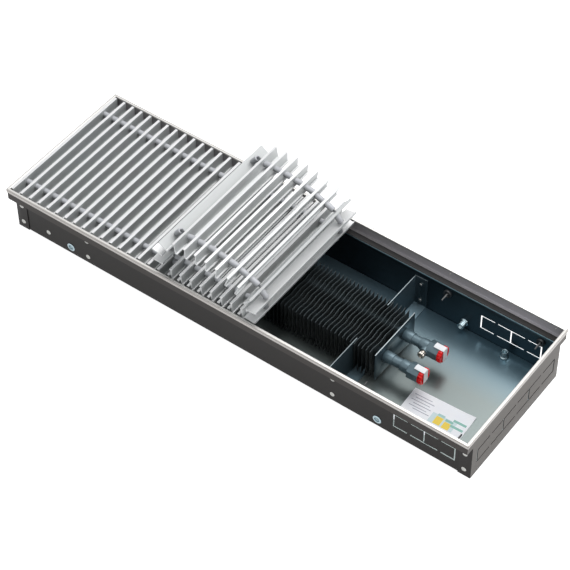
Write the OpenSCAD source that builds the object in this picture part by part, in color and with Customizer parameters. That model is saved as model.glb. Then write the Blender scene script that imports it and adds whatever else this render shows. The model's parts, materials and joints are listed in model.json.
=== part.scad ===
// Trench convector heater with a roll-up bar grille, partly rolled back over the heat exchanger.
// Millimetres, +Z up. X runs from the covered end on the left to the connection bay on the right,
// the front wall faces -Y, and z = 0 is the underside of the trough.

/* [Trough] */
// Length over the edging
total_l = 800; // [700:10:1100]
// Width over the edging
total_w = 250; // [230:1:320]
// Height from the underside to the top of the edging
total_h = 86; // [80:1:130]
// Thickness of the trough and end panel sheet
sheet_t = 1; // [0.8:0.1:1.5]
// How far the walls stand in from the edging's outer face
wall_step = 15.9; // [14:0.1:20]
// Width of the end panel's flanges along the long walls
panel_flange_w = 20.5; // [15:0.5:30]
// Gap between the end panel's flanges and the ledge above them
panel_flange_gap = 0.6; // [0.3:0.1:2]

/* [Edging] */
// Width of the edging's top face
edging_w = 4.2; // [4:0.1:7]
// Wall thickness of the edging
edging_t = 1; // [0.8:0.1:1.3]
// Height of the edging's outer leg
edging_h = 6.5; // [5:0.1:9]
// Height of the edging's inner leg
edging_inner_h = 3; // [2:0.1:4]
// Clearance between two mitred ends
mitre_gap = 0.1; // [0.05:0.05:0.3]
// Thickness of the damping strip under the bars
strip_t = 1; // [0.5:0.1:2]
// Width of the damping strip
strip_w = 9; // [6:0.5:10]

/* [Knockouts] */
// Width of the slots that outline a knockout
slot_w = 2.2; // [1.5:0.1:3]
// Length of the bridge that holds a knockout
bridge_w = 5; // [3:0.5:8]
// Width of a side wall knockout
side_knockout_w = 49; // [35:0.5:60]
// Height of a side wall knockout
side_knockout_h = 26.5; // [18:0.5:30]
// Underside of the side wall knockouts
side_knockout_z = 18.2; // [12:0.1:22]
// Distance from the end panel to the nearest side wall knockout
side_knockout_inset = 26.5; // [22:0.5:40]
// Width of an end panel knockout
end_knockout_w = 64.2; // [50:0.1:68]
// Height of an end panel knockout
end_knockout_h = 27; // [18:0.5:30]
// Underside of the end panel knockouts
end_knockout_z = 23; // [12:0.5:26]

/* [Heat exchanger] */
// Room between the left end panel and the exchanger
left_bay = 105.5; // [80:0.5:140]
// Room between the exchanger and the right end panel
connection_bay = 198.5; // [150:0.5:240]
// Width of a fin across the trough
fin_w = 97; // [80:0.5:110]
// Height of a fin
fin_h = 53; // [45:0.5:55]
// Height of the fins' lower edge above the underside
fin_z = 4; // [3:0.5:8]
// Thickness of a fin
fin_t = 0.4; // [0.3:0.05:0.6]
// Distance from one fin to the next
fin_pitch = 6.6; // [5:0.1:10]
// Half height of the fins' waves
fin_wave = 0.8; // [0.5:0.1:1.5]
// Length of one wave
fin_wave_l = 32; // [24:1:40]
// Thickness of the exchanger's end plates
end_plate_t = 1.5; // [1:0.1:2.5]
// Outer diameter of the water tubes
tube_d = 15; // [12:0.5:18]
// Wall thickness of the water tubes
tube_t = 1; // [0.7:0.1:1.5]
// Distance between the two water tubes
tube_spacing = 48; // [40:0.5:56]
// Height of the tubes' axis above the underside
tube_z = 34.5; // [28:0.5:38]
// Clearance round a tube in fins, plates and sockets
tube_fit = 0.05; // [0.03:0.01:0.1]

/* [Saddle brackets] */
// Thickness of the bracket sheet
bracket_t = 1.2; // [1:0.1:2]
// Distance from the exchanger's end plate to the bracket
bracket_inset = 37; // [20:0.5:60]
// How far the bracket rises over the fins
bracket_rise = 0.5; // [0:0.1:3]
// Width of the bracket's flanges along walls and floor
bracket_flange_w = 21; // [16:0.5:26]
// Room beside each tube in the saddle
saddle_room = 5.5; // [4:0.5:7]
// Clearance under the tubes in the saddle
saddle_gap = 0.3; // [0.1:0.1:0.5]
// Height of the upper bracket rivet
rivet_high_z = 44.5; // [38:0.5:48]
// Height of the lower bracket rivet
rivet_low_z = 12; // [9:0.5:20]

/* [Pipe connections] */
// Length of the painted sleeve outside the end plate
sleeve_l = 15; // [10:0.5:20]
// Outer diameter of the sleeve
sleeve_d = 17.4; // [16.2:0.1:20]
// Length of bare tube between the sleeve and the fitting
tube_bare_l = 12.5; // [8:0.5:18]
// Length of the fitting's round body
fitting_l = 14; // [13:0.5:18]
// Outer diameter of the fitting's round body
fitting_d = 18; // [17.2:0.1:22]
// Width of the groove at each end of the fitting
groove_w = 1.2; // [0.8:0.1:2]
// Depth of that groove
groove_deep = 0.6; // [0.3:0.1:0.8]
// Length of the socket that takes the pipe
socket_l = 12.5; // [10:0.5:16]
// Width of the socket's hexagon over the flats
socket_af = 22; // [21:0.5:26]
// Radius of the socket's bore
socket_bore_r = 9.3; // [8.5:0.1:9.6]
// Depth of the socket's bore
socket_bore_l = 11; // [8:0.5:13]
// Diameter of the red cap's rim
cap_d = 25.4; // [25:0.1:30]
// Thickness of the cap's rim
cap_t = 12.4; // [8:0.1:14]
// Length of the cap's plug in the bore
cap_plug_l = 8; // [5:0.5:9]
// Wall thickness of the cap
cap_wall = 1.6; // [1.2:0.1:2.5]
// Clearance between the cap and its socket
cap_gap = 0.3; // [0.2:0.05:0.5]
// Thickness of the paper strip over the cap
tape_t = 0.4; // [0.3:0.1:0.8]
// Width of that strip
tape_w = 10; // [6:0.5:14]
// How far the strip reaches back over the socket
tape_back = 9; // [4:0.5:12]

/* [Bleed valve] */
// Distance of the valve from the start of its tee
valve_offset = 12; // [8:0.5:14]
// Diameter of the tee's side boss
boss_d = 13; // [12:0.1:16]
// Reach of the boss from the tube's axis
boss_reach = 12.5; // [11:0.1:16]
// Diameter of the valve body's neck
valve_neck_d = 8.6; // [7:0.1:10]
// Length of the neck outside the boss
valve_neck_l = 3.4; // [2.5:0.1:5]
// Diameter of the valve's head
valve_head_d = 11; // [10:0.1:13]
// Length of the valve's head
valve_head_l = 4.6; // [3.5:0.1:6]
// Radius of the bore that takes the bleed screw
bleed_bore_r = 3.3; // [2.8:0.1:4]
// Depth of that bore
bleed_bore_l = 6; // [4:0.1:7]
// Radial clearance of the bleed screw in its bore
bleed_fit = 0.06; // [0.02:0.01:0.1]
// Width of the screw's slot
bleed_slot_w = 1.4; // [1:0.1:2]
// Depth of the screw's slot
bleed_slot_deep = 1.5; // [1:0.1:2.5]

/* [Fasteners] */
// Diameter of a blind rivet's shank
rivet_d = 3.2; // [2.8:0.1:4]
// Diameter of its head
rivet_head_d = 7.6; // [5.5:0.1:8]
// Height of its head
rivet_head_h = 1.1; // [0.8:0.1:1.6]
// Clearance round a shank
rivet_fit = 0.05; // [0.03:0.01:0.1]
// Distance of the flange rivets from the end panel
flange_rivet_inset = 10; // [7:0.5:14]
// Radius of a rivet nut's threaded hole
nut_bore_r = 4; // [3:0.1:5]
// Outer diameter of a rivet nut's barrel
nut_barrel_d = 10; // [9.6:0.1:11]
// Diameter of its flange and of the bulge that grips the sheet
nut_flange_d = 13.6; // [12:0.1:16]
// Thickness of its flange
nut_flange_t = 1; // [0.8:0.1:1.5]
// Length of the bulge
nut_bulge_l = 3; // [2:0.1:4]
// Reach of its barrel into the trough
nut_barrel_l = 11.5; // [8:0.5:14]
// Distance of the floor nuts from the end panels
floor_nut_inset = 76.3; // [60:0.1:90]
// Distance of the floor nuts from the walls
floor_nut_wall = 12.6; // [10:0.1:20]
// Distance of the wall nuts from the left end panel
wall_nut_left = 101; // [80:0.5:104]
// Distance of the wall nuts from the right end panel
wall_nut_right = 151; // [145:0.5:170]
// Height of the wall nuts' axis
wall_nut_z = 13.5; // [11:0.5:20]
// Diameter of the stud's bush
bush_d = 13; // [9:0.5:14]
// Length of the bush
bush_l = 4; // [3:0.5:8]
// Diameter of the stud's pin
stud_d = 2.6; // [2:0.1:4]
// Reach of the stud from the wall
stud_l = 20; // [14:0.5:24]
// Height of the studs' axis
stud_z = 55; // [50:0.5:58]
// Distance of the edging's screws from the end panel and the inner studs
edging_screw_inset = 16; // [10:0.5:20]
// Height of the edging's screws over the ledge
edging_screw_rise = 9; // [6:0.5:12]
// Diameter of an edging screw's head
edging_screw_d = 3.6; // [3:0.1:5]
// Height of an edging screw's head
edging_screw_h = 0.8; // [0.5:0.1:1.2]
// Distance of the outer studs from the right end panel
stud_outer_inset = 28; // [20:0.5:36]
// Distance of the inner studs from the right end panel
stud_inner_inset = 181; // [160:0.5:185]

/* [Card] */
// Length of the instruction card
card_l = 98; // [80:1:110]
// Width of the instruction card
card_w = 64; // [50:1:66]
// Thickness of the instruction card
card_t = 0.5; // [0.3:0.1:1]
// Turn of the card on the floor
card_turn = 2.8; // [0:0.1:3.5]
// Distance of the card from the right end panel
card_inset = 47; // [40:0.5:60]
// Distance of the card's front corner from the wall
card_wall_gap = 19; // [18:0.5:24]

/* [Grille] */
// Height of a grille bar
bar_h = 18; // [16:0.1:20]
// Width of the bar's top flange, which reaches to the left of the web
bar_top_w = 4.2; // [3.5:0.1:4.5]
// Thickness of the bar's top flange
bar_top_t = 1.5; // [1.2:0.1:2]
// Thickness of the bar's web
bar_web_t = 1.5; // [1.2:0.1:2]
// Width of the bar's foot, which reaches to the right of the web
bar_foot_w = 3.8; // [3.2:0.1:4]
// Thickness of the bar's foot
bar_foot_t = 1.2; // [1:0.1:1.6]
// Radius of the hollow between web and flange
bar_fillet_r = 1.3; // [0.8:0.1:1.4]
// Radius of the hollow between web and foot
bar_foot_r = 0.8; // [0.5:0.1:0.9]
// Gap between the bars' ends and the edging
bar_end_gap = 2.3; // [1:0.1:3]
// Gap between the first bar and the left edging
first_bar_gap = 0.3; // [0.2:0.05:1]
// Distance between bars where the grille is pushed together
pitch_tight = 16.75; // [16.5:0.05:18]
// Distance between flat bars where the cord hangs loose
pitch_loose = 17.7; // [17.5:0.05:18]
// Number of bars at the tight distance
tight_bars = 14; // [10:1:18]
// Number of flat bars at the loose distance
loose_bars = 11; // [4:1:12]
// Distance from one bar of the roll to the next
roll_step = 18.05; // [18:0.05:19]
// Diameter of the spacer sleeves
spacer_d = 9; // [8:0.1:10]
// Length of a spacer sleeve
spacer_l = 15.24; // [14.5:0.01:15.24]
// How much longer the sleeves on the roll's top are
top_spacer_more = 0.4; // [0:0.1:0.4]
// Distance of the spacers from the bars' ends
spacer_inset = 30.5; // [20:0.5:45]
// Diameter of the cord through the bars
cord_d = 3; // [2:0.1:4]
// Clearance round the cord
cord_gap = 0.3; // [0.2:0.05:0.5]
// Number of bars in the inner end of the roll
inner_bars_n = 8; // [5:1:10]
// Distance of the inner bars to the right of the flat bars below them
inner_shift = 5.2; // [4.9:0.05:5.5]
// Gap under the roll where it lies on the flat bars
lay_gap = 0.3; // [0.2:0.05:0.4]
// How far the cord shows past the first sleeve of the roll's top
cord_show = 3.9; // [2:0.1:4]
// Straight run of the cord out of a sleeve before it bends
cord_run = 2.7; // [2.5:0.1:2.9]
// Straight run of the cord past a bar before it bends
cord_lead = 1.7; // [1.6:0.1:1.8]
// How much thicker the cord is where it bends
cord_knuckle = 0.2; // [0.1:0.05:0.3]
// Straight run of the cord where the inner end hangs on the roll
cord_hang = 2; // [1.8:0.1:2.4]

/* [Hidden] */
$fn = 48;
skin = 0.01;
half_l = total_l / 2;
half_w = total_w / 2;
panel_out = half_l - edging_t;
panel_in = panel_out - sheet_t;
up_out = half_w - edging_t;
up_in = up_out - sheet_t;
wall_out = half_w - wall_step;
wall_in = wall_out - sheet_t;
rim_in = half_w - edging_w;
sheet_top = total_h - edging_t;
ledge_top = total_h - bar_h - strip_t;
ledge_low = ledge_top - sheet_t;
flange_out = wall_out + sheet_t;

exchanger_left = -panel_in + left_bay;
exchanger_right = panel_in - connection_bay;
tube_ys = [-tube_spacing / 2, tube_spacing / 2];
fin_top = fin_z + fin_h;
fin_span = exchanger_right - exchanger_left - fin_pitch;
fin_n = floor(fin_span / fin_pitch);
fin_first = (exchanger_left + exchanger_right - (fin_n - 1) * fin_pitch) / 2;
bracket_top = fin_top + bracket_rise;
saddle_z = tube_z - tube_d / 2 - saddle_gap;
saddle_y = tube_spacing / 2 + tube_d / 2 + saddle_room;
// The brackets stand half way between two fins, nearest to their named inset.
bracket_steps = round((bracket_inset - fin_pitch / 2) / fin_pitch);
bracket_left = fin_first + (bracket_steps - 0.5) * fin_pitch;
bracket_right = fin_first + (fin_n - 0.5 - bracket_steps) * fin_pitch;

sleeve_end = exchanger_right + end_plate_t + sleeve_l;
fitting_start = sleeve_end + tube_bare_l;
socket_start = fitting_start + fitting_l;
socket_end = socket_start + socket_l;
cap_start = socket_end + cap_gap;
cap_end = cap_start + cap_t;
socket_r = socket_af / 2 / cos(30);
tape_r = max(cap_d / 2, socket_r) + cap_gap;
valve_x = fitting_start + valve_offset;
boss_y = tube_spacing / 2 - boss_reach;
neck_y = boss_y - valve_neck_l;
head_y = neck_y - valve_head_l;

bar_l = 2 * (rim_in - bar_end_gap);
bar_right = bar_web_t / 2;
bar_top_left = bar_right - bar_top_w;
bar_foot_right = bar_foot_w - bar_right;
bar_first = -half_l + edging_w + first_bar_gap - bar_top_left;
bar_last = bar_first + (tight_bars - 1) * pitch_tight + loose_bars * pitch_loose;
bar_z = total_h - bar_h / 2;
cord_ys = [-(bar_l / 2 - spacer_inset), bar_l / 2 - spacer_inset];
cord_hole_r = cord_d / 2 + cord_gap;
spacer_off = bar_web_t / 2;
function station_x(s) = bar_last + s[0] * roll_step;
function station_z(s) = bar_z + s[1] * roll_step;
function beside(s, d) = [station_x(s) + d * cos(s[2]), 0, station_z(s) + d * sin(s[2])];
function flat_x(i) = bar_first + min(i, tight_bars - 1) * pitch_tight
    + max(i - tight_bars + 1, 0) * pitch_loose;
// Where each bar of the roll rests, counted from the last flat bar in steps of the roll to the
// right and up, and its turn from upright.
fold_stations = [[1.0, 0.45, 83.5], [1.165, 1.54, 97], [0.80, 2.45, 135]];
top_stations = [[-0.16, 3.11, 156], [-1.12, 3.45, 159], [-2.11, 3.74, 171], [-3.08, 3.90, 174],
    [-4.07, 4.01, 177], [-5.07, 4.01, 181], [-6.07, 3.94, 188]];
left_stations = [[-7.24, 3.48, 234], [-7.88, 2.49, 258], [-7.86, 1.45, 270]];
function inner_x(i) = flat_x(tight_bars + loose_bars - inner_bars_n + i) + inner_shift;
inner_z = total_h + lay_gap + spacer_d / 2;

module along_x(len) {
    rotate([90, 0, 90])
        linear_extrude(len)
            children();
}

module along_y(len) {
    translate([0, len / 2, 0])
        rotate([90, 0, 0])
            linear_extrude(len)
                children();
}

module mirrored_y() {
    children();
    mirror([0, 1, 0])
        children();
}

// Trough: one bent sheet with floor, walls, ledges and upstands.
module trough_section() {
    polygon([[-up_out, sheet_top], [-up_out, ledge_low], [-wall_out, ledge_low], [-wall_out, 0],
        [wall_out, 0], [wall_out, ledge_low], [up_out, ledge_low], [up_out, sheet_top],
        [up_in, sheet_top], [up_in, ledge_top], [wall_in, ledge_top], [wall_in, sheet_t],
        [-wall_in, sheet_t], [-wall_in, ledge_top], [-up_in, ledge_top], [-up_in, sheet_top]]);
}

// Slots round n knockouts side by side, drawn flat; each keeps a bridge above and below.
module knockout_slots(n, w, h) {
    for (i = [0 : n])
        translate([i * w - slot_w / 2, 0])
            square([slot_w, h]);
    for (i = [0 : n - 1], z = [0, h - slot_w], side = [0, 1])
        translate([i * w + side * (w + bridge_w) / 2, z])
            square([(w - bridge_w) / 2, slot_w]);
}

module wall_hole(x, z, r) {
    mirrored_y()
        translate([x, wall_in - sheet_t, z])
            rotate([-90, 0, 0])
                cylinder(h = 3 * sheet_t, r = r);
}

flange_rivet_xs = [-panel_in + flange_rivet_inset, panel_in - flange_rivet_inset];
bracket_rivet_xs = [bracket_left - bracket_flange_w / 2, bracket_right + bracket_flange_w / 2];
wall_nut_xs = [-panel_in + wall_nut_left, panel_in - wall_nut_right];
stud_xs = [panel_in - stud_inner_inset, panel_in - stud_outer_inset];
floor_nut_x = panel_in - floor_nut_inset;
floor_nut_y = wall_in - floor_nut_wall;
rivet_hole_r = rivet_d / 2 + rivet_fit;
nut_hole_r = nut_barrel_d / 2 + rivet_fit;
stud_hole_r = stud_d / 2 + rivet_fit;

module trough() {
    color([0.2, 0.2, 0.21])
        difference() {
            translate([-panel_in, 0, 0])
                along_x(2 * panel_in)
                    trough_section();
            mirrored_y()
                translate([panel_in - side_knockout_inset, wall_out + sheet_t, side_knockout_z])
                    rotate([90, 0, 0])
                        linear_extrude(3 * sheet_t)
                            mirror([1, 0, 0])
                                knockout_slots(2, side_knockout_w, side_knockout_h);
            for (x = flange_rivet_xs, z = [rivet_low_z, rivet_high_z])
                wall_hole(x, z, rivet_hole_r);
            for (x = bracket_rivet_xs, z = [rivet_low_z, rivet_high_z])
                wall_hole(x, z, rivet_hole_r);
            for (x = wall_nut_xs)
                wall_hole(x, wall_nut_z, nut_hole_r);
            for (x = stud_xs)
                wall_hole(x, stud_z, stud_hole_r);
            for (x = [-floor_nut_x, floor_nut_x], y = [-floor_nut_y, floor_nut_y])
                translate([x, y, -sheet_t])
                    cylinder(h = 3 * sheet_t, r = nut_hole_r);
        }
}

// End panel: a flat plate with a flange bent back along each long wall.
module end_panel() {
    flange_top = ledge_low - panel_flange_gap;
    union() {
        translate([panel_in, 0, 0])
            along_x(sheet_t)
                polygon([[-flange_out, 0], [flange_out, 0], [flange_out, flange_top],
                    [wall_out, flange_top], [wall_out, ledge_low], [up_out, ledge_low],
                    [up_out, sheet_top], [-up_out, sheet_top], [-up_out, ledge_low],
                    [-wall_out, ledge_low], [-wall_out, flange_top], [-flange_out, flange_top]]);
        difference() {
            mirrored_y()
                translate([panel_out - panel_flange_w, wall_out, 0])
                    cube([panel_flange_w - sheet_t, sheet_t, flange_top]);
            for (z = [rivet_low_z, rivet_high_z])
                wall_hole(panel_in - flange_rivet_inset, z, rivet_hole_r);
        }
    }
}

module end_panel_left() {
    color([0.22, 0.22, 0.23])
        mirror([1, 0, 0])
            end_panel();
}

module end_panel_right() {
    color([0.22, 0.22, 0.23])
        difference() {
            end_panel();
            translate([panel_in - sheet_t, -1.5 * end_knockout_w, end_knockout_z])
                along_x(3 * sheet_t)
                    knockout_slots(3, end_knockout_w, end_knockout_h);
        }
}

// Blind rivet along +Y: domed head outside, shank through the sheets, upset tail inside.
module blind_rivet(grip) {
    rotate([-90, 0, 0])
        rotate_extrude()
            polygon([[0, -grip - 2], [rivet_d * 0.6, -grip - 2], [rivet_d * 0.8, -grip],
                [rivet_d / 2, -grip], [rivet_d / 2, 0], [rivet_head_d / 2, 0],
                [rivet_head_d * 0.42, rivet_head_h * 0.6], [rivet_head_d * 0.2, rivet_head_h],
                [0, rivet_head_h]]);
}

module end_panel_rivets() {
    color([0.7, 0.7, 0.72])
        mirrored_y()
            for (x = flange_rivet_xs, z = [rivet_low_z, rivet_high_z])
                translate([x, flange_out, z])
                    blind_rivet(2 * sheet_t);
}

module bracket_rivets() {
    color([0.7, 0.7, 0.72])
        mirrored_y()
            for (x = bracket_rivet_xs, z = [rivet_low_z, rivet_high_z])
                translate([x, wall_out, z])
                    blind_rivet(sheet_t + bracket_t);
}

// Edging: an aluminium channel pushed over the upstand, with mitred ends.
module edging_section() {
    translate([-edging_t, -edging_h])
        square([edging_t, edging_h]);
    translate([-edging_w, -edging_t])
        square([edging_w, edging_t]);
    translate([-edging_w, -edging_inner_h])
        square([edging_t, edging_inner_h]);
}

module edging(len, half_depth) {
    translate([0, half_depth, total_h])
        intersection() {
            translate([-len / 2, 0, 0])
                along_x(len)
                    edging_section();
            translate([0, 0, -edging_h])
                linear_extrude(edging_h)
                    polygon([[-len / 2 + mitre_gap, 0], [len / 2 - mitre_gap, 0],
                        [len / 2 - mitre_gap - edging_w, -edging_w],
                        [-len / 2 + mitre_gap + edging_w, -edging_w]]);
        }
}

module edging_back() {
    color([0.85, 0.85, 0.86])
        edging(total_l, half_w);
}

module edging_front() {
    color([0.85, 0.85, 0.86])
        mirror([0, 1, 0])
            edging(total_l, half_w);
}

module edging_left() {
    color([0.85, 0.85, 0.86])
        rotate([0, 0, 90])
            edging(total_w, half_l);
}

module edging_right() {
    color([0.85, 0.85, 0.86])
        rotate([0, 0, -90])
            edging(total_w, half_l);
}

module damping_strips() {
    color([0.08, 0.08, 0.08])
        mirrored_y()
            translate([-panel_in + sheet_t, wall_in + sheet_t, ledge_top])
                cube([2 * (panel_in - sheet_t), strip_w, strip_t]);
}

// Saddle bracket: a cross plate with a notch for the water tubes, flanges to walls and floor.
module saddle_bracket() {
    difference() {
        union() {
            translate([0, -wall_in, sheet_t])
                cube([bracket_t, 2 * wall_in, bracket_top - sheet_t]);
            translate([0, -wall_in, sheet_t])
                cube([bracket_flange_w, 2 * wall_in, bracket_t]);
            mirrored_y()
                translate([0, wall_in - bracket_t, sheet_t])
                    cube([bracket_flange_w, bracket_t, bracket_top - sheet_t]);
        }
        translate([-bracket_t, -saddle_y, saddle_z])
            cube([3 * bracket_t, 2 * saddle_y, bracket_top]);
        for (z = [rivet_low_z, rivet_high_z])
            mirrored_y()
                translate([bracket_flange_w / 2, wall_in - 2 * bracket_t, z])
                    rotate([-90, 0, 0])
                        cylinder(h = 3 * bracket_t, r = rivet_hole_r);
    }
}

module saddle_bracket_right() {
    color([0.25, 0.3, 0.33])
        translate([bracket_right, 0, 0])
            saddle_bracket();
}

module saddle_bracket_left() {
    color([0.25, 0.3, 0.33])
        translate([bracket_left, 0, 0])
            mirror([1, 0, 0])
                saddle_bracket();
}

module tube_holes(x, len) {
    for (y = tube_ys)
        translate([x, y, tube_z])
            rotate([0, 90, 0])
                cylinder(h = len, r = tube_d / 2 + tube_fit);
}

// Fin: a thin sheet with slow waves across the trough, drawn in plan.
fin_steps = 12;
function fin_y(k) = -fin_w / 2 + k * fin_w / fin_steps;
function fin_off(k) = fin_wave * sin(360 * fin_y(k) / fin_wave_l);
module fin_outline() {
    polygon(concat([for (k = [0 : fin_steps]) [fin_off(k) - fin_t / 2, fin_y(k)]],
        [for (k = [fin_steps : -1 : 0]) [fin_off(k) + fin_t / 2, fin_y(k)]]));
}

module fin_pack() {
    color([0.16, 0.17, 0.18])
        for (i = [0 : fin_n - 1])
            translate([fin_first + i * fin_pitch, 0, fin_z])
                difference() {
                    linear_extrude(fin_h)
                        fin_outline();
                    translate([-fin_pitch / 2, 0, -fin_z])
                        tube_holes(0, fin_pitch);
                }
}

module exchanger_plate(x) {
    difference() {
        translate([x, -fin_w / 2, fin_z])
            cube([end_plate_t, fin_w, fin_h]);
        tube_holes(x - end_plate_t, 3 * end_plate_t);
    }
}

module exchanger_plate_left() {
    color([0.3, 0.33, 0.35])
        exchanger_plate(exchanger_left - end_plate_t);
}

module exchanger_plate_right() {
    color([0.3, 0.33, 0.35])
        exchanger_plate(exchanger_right);
}

module water_tubes() {
    color([0.72, 0.45, 0.3])
        for (y = tube_ys)
            translate([exchanger_left - end_plate_t, y, tube_z])
                rotate([0, 90, 0])
                    difference() {
                        cylinder(h = fitting_start + fitting_l / 2 - exchanger_left + end_plate_t,
                            d = tube_d);
                        translate([0, 0, -1])
                            cylinder(h = total_l, d = tube_d - 2 * tube_t);
                    }
}

module return_bend() {
    color([0.72, 0.45, 0.3])
        translate([exchanger_left - end_plate_t, 0, tube_z])
            rotate([0, 0, 90])
                rotate_extrude(angle = 180)
                    translate([tube_spacing / 2, 0])
                        difference() {
                            circle(d = tube_d);
                            circle(d = tube_d - 2 * tube_t);
                        }
}

module tube_sleeves() {
    color([0.27, 0.32, 0.34])
        for (y = tube_ys)
            translate([exchanger_right + end_plate_t, y, tube_z])
                rotate([0, 90, 0])
                    difference() {
                        cylinder(h = sleeve_l, d = sleeve_d);
                        translate([0, 0, -1])
                            cylinder(h = sleeve_l + 2, r = tube_d / 2 + tube_fit);
                    }
}

// Fitting: round body with two grooves, then a hexagon socket with the pipe's bore.
module fitting_outside(y) {
    translate([fitting_start, y, tube_z])
        rotate([0, 90, 0]) {
            difference() {
                cylinder(h = fitting_l, d = fitting_d);
                for (z = [-skin, fitting_l - groove_w])
                    translate([0, 0, z])
                        difference() {
                            cylinder(h = groove_w, d = 2 * fitting_d);
                            translate([0, 0, -1])
                                cylinder(h = groove_w + 2, r = fitting_d / 2 - groove_deep);
                        }
            }
            translate([0, 0, fitting_l])
                cylinder(h = socket_l, r = socket_r, $fn = 6);
        }
}

module fitting_bores(y) {
    translate([fitting_start, y, tube_z])
        rotate([0, 90, 0]) {
            translate([0, 0, -1])
                cylinder(h = fitting_l / 2 + 1, r = tube_d / 2 + tube_fit);
            cylinder(h = fitting_l + socket_l, d = tube_d - 2 * tube_t);
            translate([0, 0, fitting_l + socket_l - socket_bore_l])
                cylinder(h = socket_bore_l + 1, r = socket_bore_r);
        }
}

module fitting_front() {
    color([0.24, 0.28, 0.3])
        difference() {
            fitting_outside(tube_ys[0]);
            fitting_bores(tube_ys[0]);
        }
}

module valve_tee_rear() {
    color([0.24, 0.28, 0.3])
        difference() {
            union() {
                fitting_outside(tube_ys[1]);
                translate([valve_x, tube_ys[1], tube_z])
                    rotate([90, 0, 0])
                        cylinder(h = boss_reach, d = boss_d);
            }
            fitting_bores(tube_ys[1]);
            translate([valve_x, tube_ys[1], tube_z])
                rotate([90, 0, 0])
                    cylinder(h = boss_reach + 1, d = valve_neck_d / 2);
        }
}

module bleed_valve_body() {
    color([0.75, 0.72, 0.66])
        difference() {
            union() {
                translate([valve_x, boss_y, tube_z])
                    rotate([90, 0, 0])
                        cylinder(h = valve_neck_l, d = valve_neck_d);
                translate([valve_x, neck_y, tube_z])
                    rotate([90, 0, 0])
                        cylinder(h = valve_head_l, d = valve_head_d);
            }
            translate([valve_x, head_y + bleed_bore_l, tube_z])
                rotate([90, 0, 0])
                    cylinder(h = bleed_bore_l + 1, r = bleed_bore_r);
        }
}

module bleed_screw() {
    color([0.8, 0.78, 0.72])
        difference() {
            translate([valve_x, head_y + bleed_bore_l - bleed_fit, tube_z])
                rotate([90, 0, 0])
                    cylinder(h = bleed_bore_l - 2 * bleed_fit, r = bleed_bore_r - bleed_fit);
            translate([valve_x - bleed_slot_w / 2, head_y - 1, tube_z - bleed_bore_r])
                cube([bleed_slot_w, bleed_slot_deep + 1, 2 * bleed_bore_r]);
        }
}

// Cap: red plug for transport, its rim against the socket and its skirt in the bore.
module cap(y) {
    translate([cap_start, y, tube_z])
        rotate([0, 90, 0])
            difference() {
                union() {
                    cylinder(h = cap_t, d = cap_d);
                    translate([0, 0, -cap_plug_l - cap_gap])
                        cylinder(h = cap_plug_l + cap_gap + 1, r = socket_bore_r - cap_gap);
                }
                translate([0, 0, -cap_plug_l - cap_gap - 1])
                    cylinder(h = cap_plug_l + cap_gap + cap_t + 1 - cap_wall,
                        r = socket_bore_r - cap_gap - cap_wall);
            }
}

module cap_front() {
    color([0.85, 0.05, 0.08])
        cap(tube_ys[0]);
}

module cap_rear() {
    color([0.85, 0.05, 0.08])
        cap(tube_ys[1]);
}

// Paper strip: over the socket and the cap's rim, then down the cap's face.
module cap_tape(y) {
    turn = atan((tape_w / 2) / tape_r);
    translate([0, y, tube_z])
        rotate([0, 90, 0]) {
            translate([0, 0, cap_start - tape_back])
                rotate([0, 0, 180 - turn])
                    rotate_extrude(angle = 2 * turn)
                        translate([tape_r, 0])
                            square([tape_t, cap_end - cap_start + tape_back + cap_gap + tape_t]);
            translate([-tape_r, -tape_w / 2, cap_end + cap_gap])
                cube([tape_r + cap_d / 3, tape_w, tape_t]);
        }
}

module cap_tape_front() {
    color([0.95, 0.95, 0.95])
        cap_tape(tube_ys[0]);
}

module cap_tape_rear() {
    color([0.95, 0.95, 0.95])
        cap_tape(tube_ys[1]);
}

// Rivet nut along +Z: flange outside the sheet, bulge and barrel inside, threaded bore through.
module rivet_nut(flange) {
    difference() {
        union() {
            if (flange)
                translate([0, 0, -nut_flange_t])
                    cylinder(h = nut_flange_t, d = nut_flange_d);
            cylinder(h = sheet_t + nut_barrel_l, d = nut_barrel_d);
            translate([0, 0, sheet_t])
                cylinder(h = nut_bulge_l, d = nut_flange_d);
        }
        translate([0, 0, -nut_flange_t - 1])
            cylinder(h = nut_barrel_l + sheet_t + nut_flange_t + 2, r = nut_bore_r);
    }
}

module wall_rivet_nuts() {
    color([0.78, 0.8, 0.82])
        mirrored_y()
            for (x = wall_nut_xs)
                translate([x, wall_out, wall_nut_z])
                    rotate([90, 0, 0])
                        rivet_nut(true);
}

module floor_rivet_nuts() {
    color([0.78, 0.8, 0.82])
        for (x = [-floor_nut_x, floor_nut_x], y = [-floor_nut_y, floor_nut_y])
            translate([x, y, 0])
                rivet_nut(false);
}

module stud_bushes() {
    color([0.05, 0.05, 0.05])
        mirrored_y()
            for (x = stud_xs)
                translate([x, wall_in, stud_z])
                    rotate([90, 0, 0])
                        difference() {
                            cylinder(h = bush_l, d = bush_d);
                            translate([0, 0, -1])
                                cylinder(h = bush_l + 2, r = stud_hole_r);
                        }
}

module studs() {
    color([0.45, 0.45, 0.46])
        mirrored_y()
            for (x = stud_xs)
                translate([x, wall_out, stud_z])
                    rotate([90, 0, 0]) {
                        cylinder(h = stud_l + sheet_t, d = stud_d);
                        translate([0, 0, -rivet_head_h])
                            cylinder(h = rivet_head_h, d = 2 * stud_d);
                    }
}

module edging_screws() {
    color([0.75, 0.75, 0.76])
        for (x = [stud_xs[0] - edging_screw_inset / 2, panel_in - edging_screw_inset])
            translate([x, up_in, ledge_top + edging_screw_rise])
                rotate([90, 0, 0])
                    cylinder(h = edging_screw_h, d = edging_screw_d);
}

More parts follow.
